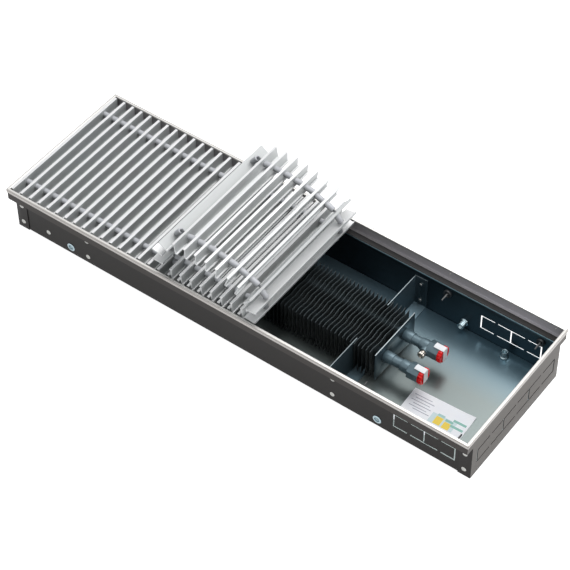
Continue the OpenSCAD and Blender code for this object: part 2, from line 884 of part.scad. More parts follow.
module instruction_card() {
    color([0.93, 0.94, 0.96])
        translate([panel_in - card_inset, card_wall_gap - wall_in, sheet_t])
            rotate([0, 0, -card_turn])
                translate([-card_l, 0, 0])
                    cube([card_l, card_w, card_t]);
}

// Grille bar: a Z, with its flange to the left of the web and its foot to the right.
module bar_section() {
    top_z = bar_h / 2 - bar_top_t;
    foot_z = -bar_h / 2 + bar_foot_t;
    difference() {
        union() {
            translate([-bar_right, -bar_h / 2])
                square([bar_web_t, bar_h]);
            translate([bar_top_left, top_z])
                square([bar_top_w, bar_top_t]);
            translate([-bar_right, -bar_h / 2])
                square([bar_foot_w, bar_foot_t]);
            translate([-bar_right - bar_fillet_r, top_z - bar_fillet_r])
                square([bar_fillet_r + bar_right, bar_fillet_r]);
            translate([0, foot_z])
                square([bar_foot_r + bar_right, bar_foot_r]);
        }
        translate([-bar_right - bar_fillet_r, top_z - bar_fillet_r])
            circle(r = bar_fillet_r);
        translate([bar_right + bar_foot_r, foot_z + bar_foot_r])
            circle(r = bar_foot_r);
    }
}

module grille_bar() {
    difference() {
        along_y(bar_l)
            bar_section();
        for (y = cord_ys)
            translate([bar_top_left, y, 0])
                rotate([0, 90, 0])
                    cylinder(h = bar_foot_right - bar_top_left, r = cord_hole_r);
    }
}

// The two sleeves that keep a bar off the one before it.
module spacer_pair(more) {
    for (y = cord_ys)
        translate([-spacer_off, y, 0])
            rotate([0, -90, 0])
                difference() {
                    cylinder(h = spacer_l + more, d = spacer_d);
                    translate([0, 0, -1])
                        cylinder(h = spacer_l + more + 2, r = cord_hole_r);
                }
}

module at_station(s) {
    translate([station_x(s), 0, station_z(s)])
        rotate([0, -s[2], 0])
            children();
}

module flat_bars() {
    color([0.86, 0.86, 0.85])
        for (i = [0 : tight_bars + loose_bars - 1])
            translate([flat_x(i), 0, bar_z])
                grille_bar();
}

module flat_spacers() {
    color([0.75, 0.76, 0.77])
        for (i = [1 : tight_bars + loose_bars - 1])
            translate([flat_x(i), 0, bar_z])
                spacer_pair(0);
}

module flat_cords() {
    color([0.3, 0.3, 0.32])
        for (y = cord_ys)
            translate([bar_first - spacer_off, y, bar_z])
                rotate([0, 90, 0])
                    cylinder(h = bar_last - bar_first + 2 * spacer_off, d = cord_d);
}

module fold_bar_1() {
    color([0.86, 0.86, 0.85])
        at_station(fold_stations[0])
            grille_bar();
}

module fold_bar_2() {
    color([0.86, 0.86, 0.85])
        at_station(fold_stations[1])
            grille_bar();
}

module fold_bar_3() {
    color([0.86, 0.86, 0.85])
        at_station(fold_stations[2])
            grille_bar();
}

module fold_spacers_1() {
    color([0.75, 0.76, 0.77])
        at_station(fold_stations[0])
            spacer_pair(0);
}

module fold_spacers_2() {
    color([0.75, 0.76, 0.77])
        at_station(fold_stations[1])
            spacer_pair(0);
}

module fold_spacers_3() {
    color([0.75, 0.76, 0.77])
        at_station(fold_stations[2])
            spacer_pair(0);
}

module top_bars() {
    color([0.86, 0.86, 0.85])
        for (s = top_stations)
            at_station(s)
                grille_bar();
}

module top_spacers() {
    color([0.75, 0.76, 0.77])
        for (i = [0 : len(top_stations) - 1])
            at_station(top_stations[i])
                spacer_pair(i == 0 ? 0 : top_spacer_more);
}

module left_fold_bars() {
    color([0.86, 0.86, 0.85])
        for (s = left_stations)
            at_station(s)
                grille_bar();
}

module left_fold_spacers() {
    color([0.75, 0.76, 0.77])
        for (s = left_stations)
            at_station(s)
                spacer_pair(0);
}

module at_inner(i) {
    translate([inner_x(i), 0, inner_z])
        children();
}

module inner_bars() {
    color([0.86, 0.86, 0.85])
        for (i = [0 : inner_bars_n - 1])
            at_inner(i)
                grille_bar();
}

// Cords: straight through a bar and its sleeves, with a bend where the roll turns sharply.
module cord_stub(reach, lead) {
    for (y = cord_ys)
        translate([spacer_off + lead, y, 0])
            rotate([0, -90, 0])
                cylinder(h = lead + bar_web_t + spacer_l + reach, d = cord_d);
}

module cord_bend(a, b) {
    for (y = cord_ys)
        translate([0, y, 0]) {
            translate(a)
                rotate([0, atan2(b[0] - a[0], b[2] - a[2]), 0])
                    cylinder(h = norm(b - a), d = cord_d);
            for (p = [a, b])
                translate(p)
                    sphere(d = cord_d + cord_knuckle);
        }
}

sleeve_mouth = -bar_web_t / 2 - spacer_l;
module fold_cords_1() {
    color([0.3, 0.3, 0.32])
        at_station(fold_stations[0])
            cord_stub(0, 0);
}

module fold_cords_2() {
    color([0.3, 0.3, 0.32])
        at_station(fold_stations[1])
            cord_stub(0, 0);
}

module fold_cords_3() {
    color([0.3, 0.3, 0.32])
        at_station(fold_stations[2])
            cord_stub(0, 0);
}

module top_cords() {
    color([0.3, 0.3, 0.32])
        for (i = [0 : len(top_stations) - 1])
            at_station(top_stations[i])
                cord_stub(i == 0 ? cord_show : 0, 0);
}

module left_fold_cords() {
    last_top = top_stations[len(top_stations) - 1];
    color([0.3, 0.3, 0.32])
        for (i = [0 : len(left_stations) - 1])
            if (i < len(left_stations) - 1) {
                prev = i == 0 ? last_top : left_stations[i - 1];
                at_station(left_stations[i])
                    cord_stub(cord_run, i == 0 ? cord_lead : 0);
                cord_bend(beside(left_stations[i], sleeve_mouth - cord_run),
                    beside(prev, bar_web_t / 2 + cord_lead));
            } else {
                at_station(left_stations[i])
                    cord_stub(0, 0);
            }
}

module inner_cords() {
    inner_first = [(inner_x(0) - bar_last) / roll_step, (inner_z - bar_z) / roll_step, 0];
    color([0.3, 0.3, 0.32]) {
        for (i = [1 : inner_bars_n - 1])
            at_inner(i)
                cord_stub(0, 0);
        at_inner(0)
            cord_stub(cord_hang, 0);
        cord_bend(beside(inner_first, sleeve_mouth - cord_hang),
            beside(left_stations[2], bar_web_t / 2 + cord_hang));
    }
}

module inner_spacers() {
    color([0.75, 0.76, 0.77])
        for (i = [0 : inner_bars_n - 1])
            at_inner(i)
                spacer_pair(0);
}

trough();
end_panel_left();
end_panel_right();
end_panel_rivets();
edging_front();
edging_back();
edging_left();
edging_right();
damping_strips();
saddle_bracket_left();
saddle_bracket_right();
bracket_rivets();
fin_pack();
exchanger_plate_left();
exchanger_plate_right();
water_tubes();
return_bend();
tube_sleeves();
fitting_front();
valve_tee_rear();
bleed_valve_body();
bleed_screw();
cap_front();
cap_rear();
cap_tape_front();
cap_tape_rear();
wall_rivet_nuts();
floor_rivet_nuts();
stud_bushes();
studs();
edging_screws();
instruction_card();
flat_bars();
flat_spacers();
flat_cords();
fold_bar_1();
fold_spacers_1();
fold_bar_2();
fold_spacers_2();
fold_bar_3();
fold_spacers_3();
top_bars();
top_spacers();
left_fold_bars();
left_fold_spacers();
inner_bars();
inner_spacers();
fold_cords_1();
fold_cords_2();
fold_cords_3();
top_cords();
left_fold_cords();
inner_cords();
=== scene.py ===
"""Looks of a trench convector heater whose roll-up bar grille is partly rolled back."""
import json
import math

import bmesh
import bpy
from mathutils import Matrix, Vector

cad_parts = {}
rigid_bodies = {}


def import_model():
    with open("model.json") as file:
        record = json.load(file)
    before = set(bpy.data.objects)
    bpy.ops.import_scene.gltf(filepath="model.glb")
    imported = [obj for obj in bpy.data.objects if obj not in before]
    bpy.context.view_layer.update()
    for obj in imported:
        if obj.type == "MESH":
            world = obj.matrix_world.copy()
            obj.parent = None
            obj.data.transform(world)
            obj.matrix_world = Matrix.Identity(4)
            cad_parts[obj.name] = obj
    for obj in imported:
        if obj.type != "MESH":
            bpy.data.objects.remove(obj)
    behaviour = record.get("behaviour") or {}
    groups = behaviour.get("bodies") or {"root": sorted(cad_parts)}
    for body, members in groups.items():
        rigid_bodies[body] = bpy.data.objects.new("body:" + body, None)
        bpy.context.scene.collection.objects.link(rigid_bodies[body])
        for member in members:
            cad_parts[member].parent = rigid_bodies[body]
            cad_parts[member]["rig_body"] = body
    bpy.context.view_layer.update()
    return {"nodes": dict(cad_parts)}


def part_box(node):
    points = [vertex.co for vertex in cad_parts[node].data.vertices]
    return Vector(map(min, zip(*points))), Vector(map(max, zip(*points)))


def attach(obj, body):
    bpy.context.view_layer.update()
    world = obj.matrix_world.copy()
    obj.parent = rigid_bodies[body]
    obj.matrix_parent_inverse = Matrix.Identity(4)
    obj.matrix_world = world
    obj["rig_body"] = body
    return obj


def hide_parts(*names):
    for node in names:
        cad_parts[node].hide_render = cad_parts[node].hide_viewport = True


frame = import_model()
nodes = frame["nodes"]
MM = 0.001

# The camera stands high to the right of the front wall, three metres off, with a long lens.
# Its angles, distance and lens come from fitting the trough's corners in the photograph.
azimuth, elevation, tilt = (math.radians(angle) for angle in (36.805, 48.085, -0.567))
aim = Vector((15.92, -6.45, 43.0)) * MM
distance = 2996.9 * MM
focal_pixels, frame_pixels = 2111.5, 570
away = Vector((math.sin(azimuth) * math.cos(elevation),
               -math.cos(azimuth) * math.cos(elevation), math.sin(elevation)))
level = Vector((math.cos(azimuth), math.sin(azimuth), 0))
upward = away.cross(level)
right = math.cos(tilt) * level + math.sin(tilt) * upward
upright = math.cos(tilt) * upward - math.sin(tilt) * level
camera = bpy.data.objects.new("camera", bpy.data.cameras.new("camera"))
camera.data.sensor_width = 36
camera.data.lens = camera.data.sensor_width * focal_pixels / frame_pixels
camera.data.clip_start, camera.data.clip_end = 0.05, 30
turned = Matrix((right, upright, away)).transposed().to_4x4()
camera.matrix_world = Matrix.Translation(aim + away * distance) @ turned
bpy.context.scene.collection.objects.link(camera)
bpy.context.scene.camera = camera
bpy.context.scene.view_settings.view_transform = "Standard"


# The stage is a white table under a white tent, lit by large soft lamps. What the camera and
# glossy surfaces see of it is plain white, and the table keeps a soft shadow of the heater.
def linear(code):
    """Turns an sRGB hex colour into the linear values that the shaders take."""
    parts = [int(code[i:i + 2], 16) / 255 for i in (1, 3, 5)]
    return [p / 12.92 if p <= 0.04045 else ((p + 0.055) / 1.055) ** 2.4 for p in parts] + [1]


def add(owner, kind, inputs=None, **settings):
    """Adds one shader node, sets it, and links or fills its sockets."""
    made = owner.node_tree.nodes.new("ShaderNode" + kind)
    for name, value in settings.items():
        setattr(made, name, value)
    for name, value in (inputs or {}).items():
        if isinstance(value, bpy.types.NodeSocket):
            owner.node_tree.links.new(value, made.inputs[name])
        else:
            made.inputs[name].default_value = value
    return made


def seen_share(owner):
    """1 for a ray from the camera, a glossy surface or glass, and 0 for light on the way."""
    path = add(owner, "LightPath").outputs
    shiny = add(owner, "Math", {0: path["Is Camera Ray"], 1: path["Is Glossy Ray"]},
                operation="MAXIMUM")
    return add(owner, "Math", {0: shiny.outputs[0], 1: path["Is Transmission Ray"]},
               operation="MAXIMUM").outputs[0]


tent = bpy.data.worlds.new("tent")
bpy.context.scene.world = tent
tent.use_nodes = True
tent.node_tree.nodes.clear()
fill = add(tent, "Background", {"Color": linear("#eef2f8"), "Strength": 0.46})
white = add(tent, "Background", {"Color": linear("#ffffff"), "Strength": 1.0})
cloth = add(tent, "MixShader", {0: seen_share(tent), 1: fill.outputs[0], 2: white.outputs[0]})
add(tent, "OutputWorld", {"Surface": cloth.outputs[0]})

# Half of the table's side, and how far it lies under the floor of the heater, in metres
table_half, table_drop = 9, 0.0004
table_top = bpy.data.meshes.new("table_top")
table_top.from_pydata([(x * table_half, y * table_half, -table_drop)
                       for x, y in ((-1, -1), (1, -1), (1, 1), (-1, 1))], [], [(0, 1, 2, 3)])
table = bpy.data.objects.new("table", table_top)
bpy.context.scene.collection.objects.link(table)

# White lacquer: matt, and lifted to plain white for the eye, so that only the shadow shows.
lacquer = bpy.data.materials.new("white_table_lacquer")
lacquer.use_nodes = True
lacquer.node_tree.nodes.clear()
matt = add(lacquer, "BsdfDiffuse", {"Color": linear("#efefef")})
glow = add(lacquer, "Emission", {"Color": linear("#ffffff"), "Strength": 0.85})
seen = add(lacquer, "MixShader", {0: seen_share(lacquer), 2: glow.outputs[0]})
summed = add(lacquer, "AddShader", {0: matt.outputs[0], 1: seen.outputs[0]})
add(lacquer, "OutputMaterial", {"Surface": summed.outputs[0]})
table_top.materials.append(lacquer)

# Each lamp's place and size are in metres and its power in watts
for name, place, size, power in (("lamp_top", (0.3, 0.9, 2.2), 1.8, 33),
                                 ("lamp_right", (2.4, -0.2, 1.1), 1.2, 10),
                                 ("lamp_front", (-0.6, -2.6, 1.3), 1.4, 2)):
    lamp = bpy.data.objects.new(name, bpy.data.lights.new(name, "AREA"))
    lamp.data.size = size
    lamp.data.energy = power
    lamp.location = place
    lamp.rotation_mode = "QUATERNION"
    lamp.rotation_quaternion = (-Vector(place)).to_track_quat("-Z", "Y")
    bpy.context.scene.collection.objects.link(lamp)


# The trough is folded from one galvanised sheet of 1 mm: floor, walls, ledges and upstands. Its
# bends are round, with a radius of about the sheet's thickness, and the cut edges are sharp.
def surface(name, **sockets):
    """A new material: its shader, and the place on the piece in millimetres."""
    made = bpy.data.materials.new(name)
    made.use_nodes = True
    made.node_tree.nodes.clear()
    shader = add(made, "BsdfPrincipled", {k.replace("_", " "): v for k, v in sockets.items()})
    add(made, "OutputMaterial", {"Surface": shader.outputs[0]})
    place = add(made, "TexCoord").outputs["Object"]
    mm = add(made, "VectorMath", {0: place, "Scale": 1 / MM}, operation="SCALE").outputs[0]
    return made, shader, mm


def blend_colours(made, share, low, high):
    """A colour between two, each a hex code or the output of another node."""
    ends = [linear(end) if isinstance(end, str) else end for end in (low, high)]
    return add(made, "Mix", {0: share, 6: ends[0], 7: ends[1]}, data_type="RGBA").outputs[2]


def drive(made, shader, socket, source, low, high):
    """Lets a 0 to 1 pattern run a socket between two values or two colours."""
    if isinstance(low, (int, float)):
        value = add(made, "MapRange", {0: source, 3: low, 4: high}).outputs[0]
    else:
        value = blend_colours(made, source, low, high)
    made.node_tree.links.new(value, shader.inputs[socket])


def bump(made, shader, pattern, height):
    """Raises the surface by a pattern, at most this many millimetres high."""
    lift = add(made, "Bump", {"Height": pattern, "Strength": 1.0, "Distance": height * MM})
    made.node_tree.links.new(lift.outputs[0], shader.inputs["Normal"])


def zone(made, axes, *spans):
    """1 in one part of a piece and 0 elsewhere. A span is an axis, its middle and its half."""
    share = None
    for axis, middle, half in spans:
        within = add(made, "Math", {0: axes[axis], 1: float(middle), 2: float(half)},
                     operation="COMPARE").outputs[0]
        if share is None:
            share = within
        else:
            share = add(made, "Math", {0: share, 1: within}, operation="MULTIPLY").outputs[0]
    return share


def start_coat(name):
    """A new powder coat with its orange peel. Gives the material, its shader, the places along
    the axes in mm, a cloudy pattern and the colour of its outside."""
    cloud_size, peel_size, peel_high = 60, 1.4, 0.012
    made, shader, mm = surface(name, Specular_IOR_Level=0.15)
    axes = add(made, "SeparateXYZ", {0: mm}).outputs
    cloud = add(made, "TexNoise", {"Vector": mm, "Scale": 1 / cloud_size, "Detail": 2.0}).outputs[0]
    outside = blend_colours(made, cloud, "#262321", "#2d2a28")
    peel = add(made, "TexNoise", {"Vector": mm, "Scale": 1 / peel_size, "Detail": 3.0}).outputs[0]
    bump(made, shader, peel, peel_high)
    return made, shader, axes, cloud, outside


def finish_coat(made, shader, inner, outside, inside, inner_metal):
    """Colours a powder coat: satin outside, and glossier and more metallic where inner is 1."""
    drive(made, shader, "Base Color", inner, outside, inside)
    drive(made, shader, "Metallic", inner, 0.1, inner_metal)
    drive(made, shader, "Roughness", inner, 0.42, 0.28)


def put(mesh, piece_name, material, *stands_for):
    """Shows a mesh in place of CAD nodes of one body, riding on that body."""
    piece = bpy.data.objects.new(piece_name, mesh)
    bpy.context.scene.collection.objects.link(piece)
    mesh.materials.append(material)
    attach(piece, nodes[stands_for[0]]["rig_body"])
    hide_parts(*stands_for)
    return piece


# Points of a mesh that are closer together than this are one
weld = 0.001 * MM


def rounded(node, material, radius, chosen=None, steps=2):
    """Puts a copy of a CAD node with round edges: all sharp ones, or those that chosen picks."""
    flat_angle, sharp_angle, shade_angle = (math.radians(angle) for angle in (0.5, 35, 32))
    shape = bmesh.new()
    shape.from_mesh(nodes[node].data)
    bmesh.ops.remove_doubles(shape, verts=shape.verts, dist=weld)
    bmesh.ops.dissolve_limit(shape, angle_limit=flat_angle, verts=shape.verts, edges=shape.edges)
    sharp = [e for e in shape.edges if len(e.link_faces) == 2
             and e.calc_face_angle() > sharp_angle and (chosen is None or chosen(e))]
    bmesh.ops.bevel(shape, geom=sharp, offset=radius * MM, segments=steps, profile=0.5,
                    affect="EDGES", clamp_overlap=True)
    mesh = bpy.data.meshes.new(node + "_rounded")
    shape.to_mesh(mesh)
    shape.free()
    mesh.shade_smooth()
    mesh.set_sharp_from_angle(angle=shade_angle)
    return put(mesh, node + "_rounded", material, node)


# The brackets reach from wall to wall, and the rubber strips lie on the ledges
sheet = 1.0
wall_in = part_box("saddle_bracket_left")[1].y / MM
wall_out = wall_in + sheet
upstand_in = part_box("trough")[1].y / MM - sheet
ledge_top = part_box("damping_strips")[0].z / MM

# Powder coat: warm dark grey and satin outside, with a fine orange peel and paler upstands.
# Inside it is a metallic blue grey with painted reflections: the back wall is painted nearly
# black at the left, and the floor is painted from blue at the back to grey at the front. The
# bend at the top of the wall and the upstand's inner face carry painted highlights.
powder, shader, axes, _, outside = start_coat("powder_coat_dark_grey")

# Each limit lies a little off the faces that it tells apart
room_low, room_high = sheet - 0.3, ledge_top + 0.7
inner = zone(powder, axes, ("Y", 0, wall_out - 0.1),
             ("Z", (room_low + room_high) / 2, (room_high - room_low) / 2))
over_ledge = add(powder, "Math", {0: axes["Z"], 1: ledge_top - 0.5},
                 operation="GREATER_THAN").outputs[0]
towards_room = zone(powder, axes, ("Y", 0, upstand_in + 0.5))

# Painted reflections and highlights change over these stretches, to the right and to the front
shade_left, shade_right, shade_back, shade_front = 20.0, 330.0, 95.0, 10.0
to_right = add(powder, "MapRange", {0: axes["X"], 1: shade_left, 2: shade_right}).outputs[0]
to_front = add(powder, "MapRange", {0: axes["Y"], 1: shade_back, 2: shade_front}).outputs[0]
# The upstand's inner face: a painted highlight, paler to the right
upstand_painted_highlight = blend_colours(powder, to_right, "#a39fa0", "#cbc8cb")
upstand = blend_colours(powder, towards_room, "#3f3a37", upstand_painted_highlight)
outside = blend_colours(powder, over_ledge, outside, upstand)
back_face = add(powder, "Math", {0: axes["Y"], 1: wall_in - 0.6},
                operation="GREATER_THAN").outputs[0]
# Painted reflections: the floor bluer at the back, the back wall darkest at the left
back_floor_painted_reflection = blend_colours(powder, to_right, "#849eab", "#6c8794")
floor_painted_reflection = blend_colours(powder, to_front, back_floor_painted_reflection, "#78807f")
back_wall_painted_reflection = blend_colours(powder, to_right, "#22292e", "#3a4c55")
inside = blend_colours(powder, back_face, floor_painted_reflection, back_wall_painted_reflection)
# The top bend of the inner walls: a painted highlight
top_bend = add(powder, "Math", {0: axes["Z"], 1: ledge_top - 0.7},
               operation="GREATER_THAN").outputs[0]
inside = blend_colours(powder, top_bend, inside, "#566f78")
finish_coat(powder, shader, inner, outside, inside, 0.75)

bend_radius, bend_slack = 0.9, 0.05
bends = [(wall_out, 0), (wall_in, sheet), (wall_in, ledge_top), (wall_out, ledge_top - sheet),
         (upstand_in, ledge_top)]


def on_a_bend(edge):
    """Whether an edge runs along one of the trough's bends."""
    ends = [(abs(v.co.y) / MM, v.co.z / MM) for v in edge.verts]
    return any(all(math.dist(end, bend) < bend_slack for end in ends) for bend in bends)


rounded("trough", powder, bend_radius, on_a_bend, steps=3)

# The end panels close the trough. Each is a flat plate of the same sheet with a flange bent
# back along either long wall, where it is riveted on.
panel_low, panel_high = (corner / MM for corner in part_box("end_panel_right"))
flange_end, panel_out = panel_low.x, panel_high.x
panel_in, flange_out = panel_out - sheet, wall_out + sheet

# The same powder coat. The right panel's outer face is painted paler, as painted light, and
# the raw cut end of each flange is painted black, as painted shade.
panel_coat, shader, axes, cloud, outside = start_coat("powder_coat_cut_flange")
far = add(panel_coat, "Math", {0: axes["X"]}, operation="ABSOLUTE").outputs[0]
# The cut ends of the flanges: painted shade
cut = add(panel_coat, "Math", {0: far, 1: flange_end + 0.2}, operation="LESS_THAN").outputs[0]
inner = zone(panel_coat, axes, ("X", 0, panel_in + 0.2), ("Y", 0, wall_in + 0.3))
# The right panel's outer face: painted light
right_face = add(panel_coat, "Math", {0: axes["X"], 1: panel_out - 0.1},
                 operation="GREATER_THAN").outputs[0]
outside = blend_colours(panel_coat, right_face, outside, "#59544f")
outside = blend_colours(panel_coat, cut, outside, "#0b0a0a")
inside = blend_colours(panel_coat, cloud, "#717e82", "#7a8486")
finish_coat(panel_coat, shader, inner, outside, inside, 0.88)


def at_end_fold(edge):
    """Whether an edge is the outer fold between an end panel's plate and its flanges."""
    return all(abs(abs(v.co.x) / MM - panel_out) < bend_slack
               and abs(abs(v.co.y) / MM - flange_out) < bend_slack for v in edge.verts)


rounded("end_panel_left", panel_coat, bend_radius, at_end_fold, steps=3)
rounded("end_panel_right", panel_coat, bend_radius, at_end_fold, steps=3)


# Blind rivets of aluminium hold the end panels and the brackets to the walls. Each has a
# domed head with the hollow of its broken mandrel, and a bulged tail on the far side. One more
# sits low in each long wall, near its left end.
def turned_mesh(name, outline, spots, sides=32, flutes=0, flute_deep=0.0, from_radius=0.0):
    """One mesh of turned pieces: an outline of (radius, height) in mm, closed at radius 0 or as
    a ring, set at spots of (place in mm, direction). Flutes cut in beyond from_radius."""
    shade_angle = math.radians(40)
    shape = bmesh.new()
    for spot, direction in spots:
        turn = Vector(direction).to_track_quat("Z", "Y").to_matrix()
        rings = []
        for radius, height in outline:
            ring = []
            for k in range(1 if radius == 0 else sides):
                angle = 2 * math.pi * k / sides
                cut_in = flute_deep * max(0.0, math.cos(flutes * angle)) if flutes else 0.0
                reach = radius - (cut_in if radius > from_radius else 0.0)
                point = Vector((reach * math.cos(angle), reach * math.sin(angle), height))
                ring.append(shape.verts.new((Vector(spot) + turn @ point) * MM))
            rings.append(ring)
        pairs = list(zip(rings, rings[1:]))
        if len(rings[0]) > 1 and len(rings[-1]) > 1:
            pairs.append((rings[-1], rings[0]))
        for low, high in pairs:
            for k in range(sides):
                corners = [low[k % len(low)], low[(k + 1) % len(low)],
                           high[(k + 1) % len(high)], high[k % len(high)]]
                corners = [c for i, c in enumerate(corners) if c not in corners[:i]]
                shape.faces.new(corners)
    bmesh.ops.recalc_face_normals(shape, faces=shape.faces)
    mesh = bpy.data.meshes.new(name)
    shape.to_mesh(mesh)
    shape.free()
    mesh.shade_smooth()
    mesh.set_sharp_from_angle(angle=shade_angle)
    return mesh


def middles(node):
    """The middle and size of each separate solid of a CAD node, in mm, sorted by the middle."""
    shape = bmesh.new()
    shape.from_mesh(nodes[node].data)
    bmesh.ops.remove_doubles(shape, verts=shape.verts, dist=weld)
    waiting, found = set(shape.verts), []
    while waiting:
        group, found_next = set(), [waiting.pop()]
        while found_next:
            corner = found_next.pop()
            group.add(corner)
            for edge in corner.link_edges:
                other = edge.other_vert(corner)
                if other in waiting:
                    waiting.discard(other)
                    found_next.append(other)
        low = Vector([min(v.co[k] for v in group) for k in range(3)])
        high = Vector([max(v.co[k] for v in group) for k in range(3)])
        found.append(((low + high) / 2 / MM, (high - low) / MM))
    shape.free()
    return sorted(found, key=lambda item: tuple(round(c, 2) for c in item[0]))


# Bare aluminium, pressed: bright and slightly scuffed, in patches of under a millimetre.
scuff_size = 0.8
rivet, shader, mm = surface("aluminium_rivet", Metallic=1.0)
scuff = add(rivet, "TexNoise", {"Vector": mm, "Scale": 1 / scuff_size, "Detail": 3.0}).outputs[0]
drive(rivet, shader, "Base Color", scuff, "#9c9c99", "#c6c6c2")
drive(rivet, shader, "Roughness", scuff, 0.25, 0.45)

# The heads on the front wall sit a little above their holes, as the photograph shows them
head_higher, left_rivet_x, left_rivet_z = 0.9, -340, 18
bracket_sheet = 1.2
head = [(0, 0.35), (0.9, 0.35), (1.15, 0.55), (1.35, 1.0), (1.9, 1.1), (2.8, 0.9), (3.5, 0.5),
        (3.8, 0.12), (3.75, 0), (1.6, 0)]
for node, face_out, grip, bulge in (("end_panel_rivets", flange_out, 2 * sheet, 2.55),
                                    ("bracket_rivets", wall_out, sheet + bracket_sheet, 2.56)):
    tail = [(1.6, -grip), (bulge, -grip - 0.1), (bulge, -grip - 1.2), (bulge * 0.8, -grip - 1.8),
            (0.8, -grip - 2.0), (0, -grip - 1.7)]
    spots = []
    for middle, _ in middles(node):
        side = 1 if middle.y > 0 else -1
        higher = head_higher if side < 0 else 0
        spots.append(((middle.x, side * face_out, middle.z + higher), (0, side, 0)))
    if node == "bracket_rivets":
        spots += [((left_rivet_x, side * face_out, left_rivet_z), (0, side, 0))
                  for side in (-1, 1)]
    put(turned_mesh(node + "_turned", head + tail, spots), node + "_turned", rivet, node)


# The two saddle brackets carry the exchanger. They are cut and folded from 1.2 mm sheet,
# coated, and riveted to the walls.
def pale_edged_sheet(name, node, coat_low, coat_high, top_edge_colour):
    """Blue grey coated sheet, softly clouded, whose cut top edge is paler."""
    cloud_size, edge_deep = 40, 0.15
    edge_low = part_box(node)[1].z / MM - edge_deep
    made, shader, mm = surface(name)
    cloud = add(made, "TexNoise", {"Vector": mm, "Scale": 1 / cloud_size, "Detail": 2.0}).outputs[0]
    height = add(made, "SeparateXYZ", {0: mm}).outputs["Z"]
    pale_top_edge = add(made, "Math", {0: height, 1: edge_low}, operation="GREATER_THAN").outputs[0]
    coat = blend_colours(made, cloud, coat_low, coat_high)
    drive(made, shader, "Base Color", pale_top_edge, coat, top_edge_colour)
    drive(made, shader, "Metallic", pale_top_edge, 0.8, 0.9)
    drive(made, shader, "Roughness", pale_top_edge, 0.36, 0.45)
    return made


# Coated sheet: a dim metallic blue grey, with a pale bright line along the top.
bracket = pale_edged_sheet("coated_sheet_pale_edge", "saddle_bracket_left",
                           "#4c5e67", "#5a6c75", "#8c969a")
rounded("saddle_bracket_left", bracket, 0.25)
rounded("saddle_bracket_right", bracket, 0.25)


# The fins are 0.4 mm aluminium, pressed in waves, pushed on the tubes and dipped in black.
# Their top edges are sheared.
def dress(material, *names):
    """Gives CAD nodes this material and nothing else."""
    for name in names:
        nodes[name].data.materials.clear()
        nodes[name].data.materials.append(material)


# Black dip: a soft sheen, uneven from place to place, and grey along the sheared top edges.
dip_size, edge_deep = 9, 0.1
fins, shader, mm = surface("black_dipped_fins", Roughness=0.4, Metallic=0.3)
height = add(fins, "SeparateXYZ", {0: mm}).outputs["Z"]
edge_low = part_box("fin_pack")[1].z / MM - edge_deep
pale_top_edge = add(fins, "Math", {0: height, 1: edge_low}, operation="GREATER_THAN").outputs[0]
dip = add(fins, "TexNoise", {"Vector": mm, "Scale": 1 / dip_size, "Detail": 2.0}).outputs[0]
black = blend_colours(fins, dip, "#2b3032", "#474b4c")
drive(fins, shader, "Base Color", pale_top_edge, black, "#566164")
dress(fins, "fin_pack")

# The end plates of the exchanger are thicker sheet than the fins, with the tubes through them.
# They are coated a shade darker than the brackets, and their top edge is a shade brighter.
plate = pale_edged_sheet("coated_plate_pale_edge", "exchanger_plate_left",
                         "#46565f", "#53646c", "#a0a9ac")
rounded("exchanger_plate_left", plate, 0.2)
rounded("exchanger_plate_right", plate, 0.2)

# Two copper tubes carry the water, joined by a bend at the left. At the right each ends in a
# sleeve and a brass fitting with a hexagon socket. The sockets are drawn longer than their
# solids, to the length that the photograph shows, and the caps give way by as much.
socket_longer, mouth_deep = 5.4, 0.8

# Sprayed satin paint over tubes, sleeves and fittings: blue grey, mottled, with a fine mist.
spray_size, mist_size, mist_high = 5, 0.9, 0.02
pipe, shader, mm = surface("sprayed_pipe_paint", Metallic=0.35)
spray = add(pipe, "TexNoise", {"Vector": mm, "Scale": 1 / spray_size, "Detail": 3.0}).outputs[0]
drive(pipe, shader, "Base Color", spray, "#5a6e77", "#6f838b")
drive(pipe, shader, "Roughness", spray, 0.28, 0.42)
mist = add(pipe, "TexNoise", {"Vector": mm, "Scale": 1 / mist_size, "Detail": 2.0}).outputs[0]
bump(pipe, shader, mist, mist_high)
dress(pipe, "water_tubes", "return_bend")
rounded("tube_sleeves", pipe, 0.5)
for node in ("fitting_front", "valve_tee_rear"):
    piece = rounded(node, pipe, 0.35)
    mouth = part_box(node)[1].x - mouth_deep * MM
    for point in piece.data.vertices:
        if point.co.x > mouth:
            point.co.x += socket_longer * MM

# The bleed valve is turned from brass: a collar on the tee's boss, a fluted head for the
# fingers, and a slotted screw in its bore.
valve_low, valve_high = (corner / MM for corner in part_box("bleed_valve_body"))
valve_seat = ((valve_low.x + valve_high.x) / 2, valve_high.y, (valve_low.z + valve_high.z) / 2)
valve_outline = [(0, 0), (4.2, 0), (4.2, 0.4), (3.5, 0.8), (3.5, 1.6), (4.3, 2.0), (4.3, 3.0),
                 (4.0, 3.4), (5.2, 3.5), (5.5, 3.9), (5.5, 7.3), (5.1, 7.9), (3.7, 8.0),
                 (3.3, 7.6), (3.3, 2.0), (0, 2.0)]

# Nickel plate: a warm mirror, a little worn in spots.
wear_size = 1.5
nickel, shader, mm = surface("nickel_plate", Metallic=1.0)
worn = add(nickel, "TexNoise", {"Vector": mm, "Scale": 1 / wear_size, "Detail": 3.0}).outputs[0]
drive(nickel, shader, "Base Color", worn, "#aea69c", "#e4dfd8")
drive(nickel, shader, "Roughness", worn, 0.12, 0.28)
put(turned_mesh("bleed_valve_turned", valve_outline, [(valve_seat, (0, -1, 0))], sides=48,
                flutes=8, flute_deep=0.7, from_radius=4.4), "bleed_valve_turned", nickel,
    "bleed_valve_body")
rounded("bleed_screw", nickel, 0.2)

# Red caps plug the sockets for transport. Each is moulded in one piece, with a hollow plug,
# grip ribs round its rim and a shallow dish in its face.
cap_deep = 12.4

